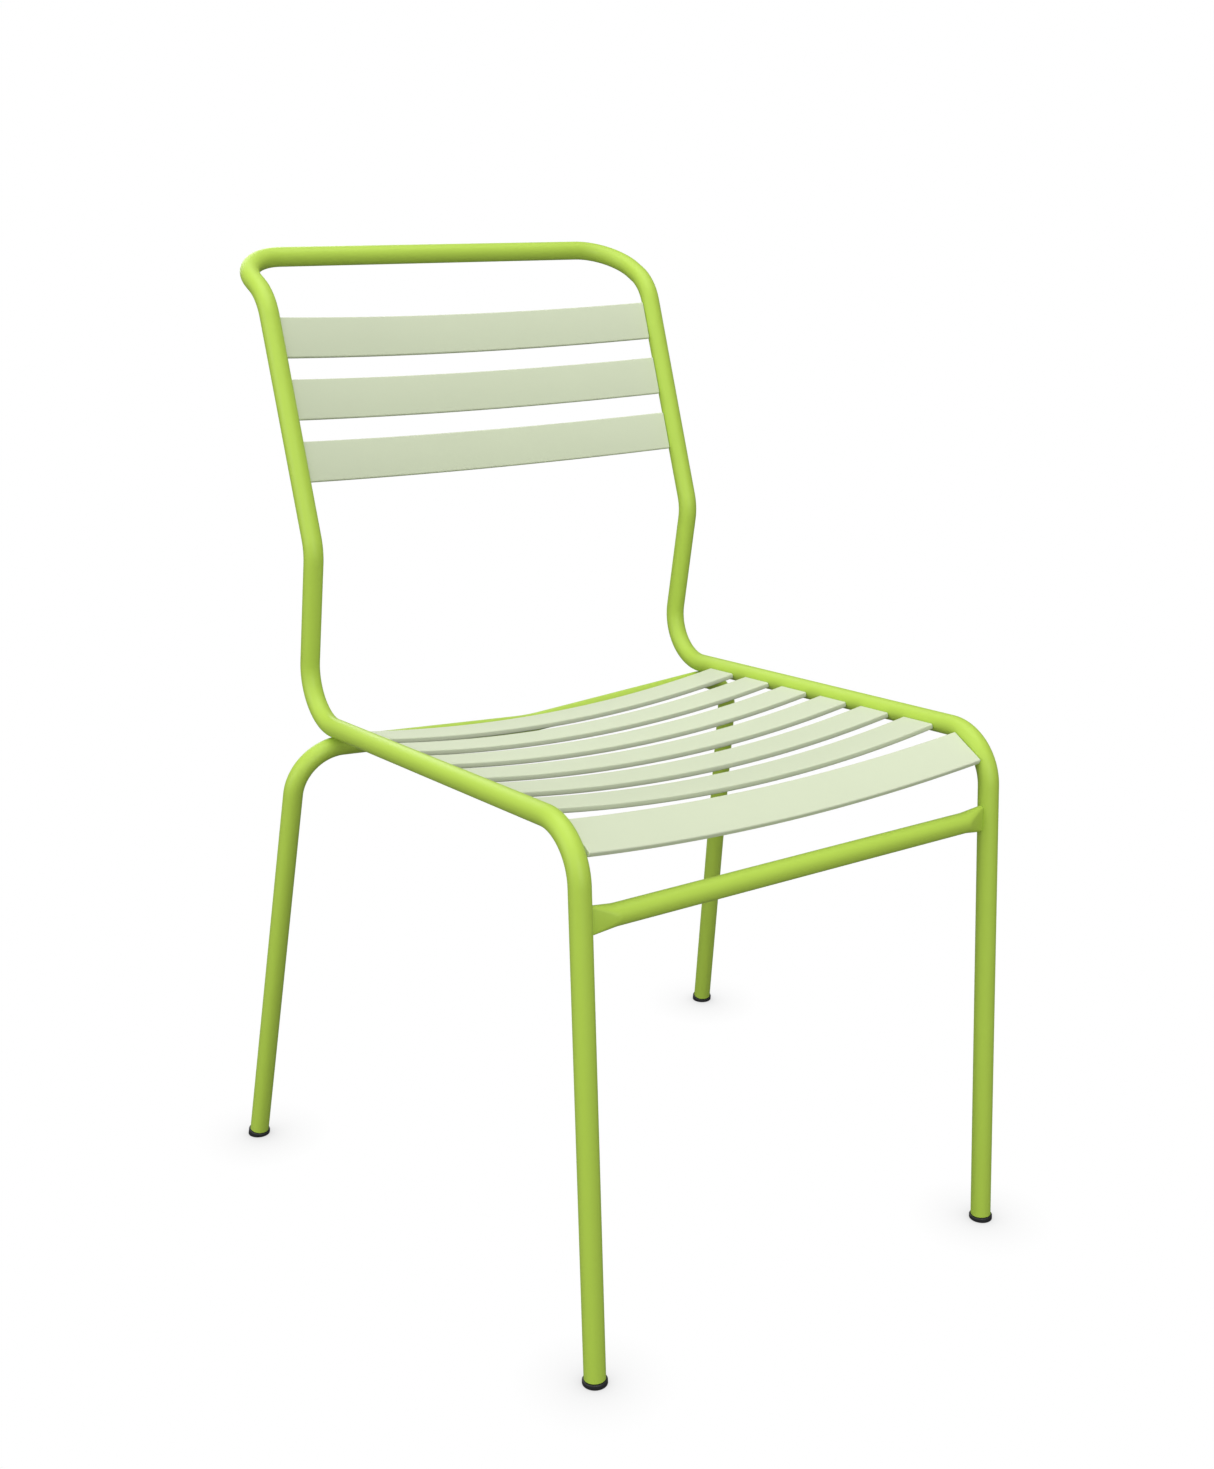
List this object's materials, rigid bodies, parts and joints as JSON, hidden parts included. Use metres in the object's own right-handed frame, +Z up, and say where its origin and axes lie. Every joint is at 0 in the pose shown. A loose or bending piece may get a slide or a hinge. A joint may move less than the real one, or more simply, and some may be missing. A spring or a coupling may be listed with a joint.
{
  "type": "stacking chair",
  "caption": "Armless outdoor stacking chair: bent tube frame, bowed cross slats for seat and back, splayed rear legs, black floor glides.",
  "frame": {"origin": "on the floor, under the middle of the chair's overall width and overall depth", "axes": "+Z up, the front of the chair faces -Y, +X to the right seen from the front"},
  "size_m": [0.5738, 0.624, 0.8518],
  "materials": {
    "frame_paint": "satin",
    "slat_paint": "satin",
    "screw_zinc": "satin",
    "glide_black": "matte"
  },
  "bodies": {
    "root": {"frame_tube": "frame_paint", "rear_leg_tube": "frame_paint", "front_crossbar": "frame_paint", "seat_slat_1": "slat_paint", "seat_slat_1_lug_left": "frame_paint", "seat_slat_1_lug_right": "frame_paint", "seat_slat_1_screw_left": "screw_zinc", "seat_slat_1_screw_right": "screw_zinc", "seat_slat_2": "slat_paint", "seat_slat_2_lug_left": "frame_paint", "seat_slat_2_lug_right": "frame_paint", "seat_slat_2_screw_left": "screw_zinc", "seat_slat_2_screw_right": "screw_zinc", "seat_slat_3": "slat_paint", "seat_slat_3_lug_left": "frame_paint", "seat_slat_3_lug_right": "frame_paint", "seat_slat_3_screw_left": "screw_zinc", "seat_slat_3_screw_right": "screw_zinc", "seat_slat_4": "slat_paint", "seat_slat_4_lug_left": "frame_paint", "seat_slat_4_lug_right": "frame_paint", "seat_slat_4_screw_left": "screw_zinc", "seat_slat_4_screw_right": "screw_zinc", "seat_slat_5": "slat_paint", "seat_slat_5_lug_left": "frame_paint", "seat_slat_5_lug_right": "frame_paint", "seat_slat_5_screw_left": "screw_zinc", "seat_slat_5_screw_right": "screw_zinc", "seat_slat_6": "slat_paint", "seat_slat_6_lug_left": "frame_paint", "seat_slat_6_lug_right": "frame_paint", "seat_slat_6_screw_left": "screw_zinc", "seat_slat_6_screw_right": "screw_zinc", "seat_slat_front": "slat_paint", "seat_slat_front_lug_left": "frame_paint", "seat_slat_front_lug_right": "frame_paint", "seat_slat_front_screw_left": "screw_zinc", "seat_slat_front_screw_right": "screw_zinc", "back_slat_1": "slat_paint", "back_slat_1_lug_left": "frame_paint", "back_slat_1_lug_right": "frame_paint", "back_slat_1_screw_left": "screw_zinc", "back_slat_1_screw_right": "screw_zinc", "back_slat_2": "slat_paint", "back_slat_2_lug_left": "frame_paint", "back_slat_2_lug_right": "frame_paint", "back_slat_2_screw_left": "screw_zinc", "back_slat_2_screw_right": "screw_zinc", "back_slat_3": "slat_paint", "back_slat_3_lug_left": "frame_paint", "back_slat_3_lug_right": "frame_paint", "back_slat_3_screw_left": "screw_zinc", "back_slat_3_screw_right": "screw_zinc", "front_glide_left": "glide_black", "front_glide_right": "glide_black", "rear_glide_left": "glide_black", "rear_glide_right": "glide_black"}
  },
  "joints": []
}
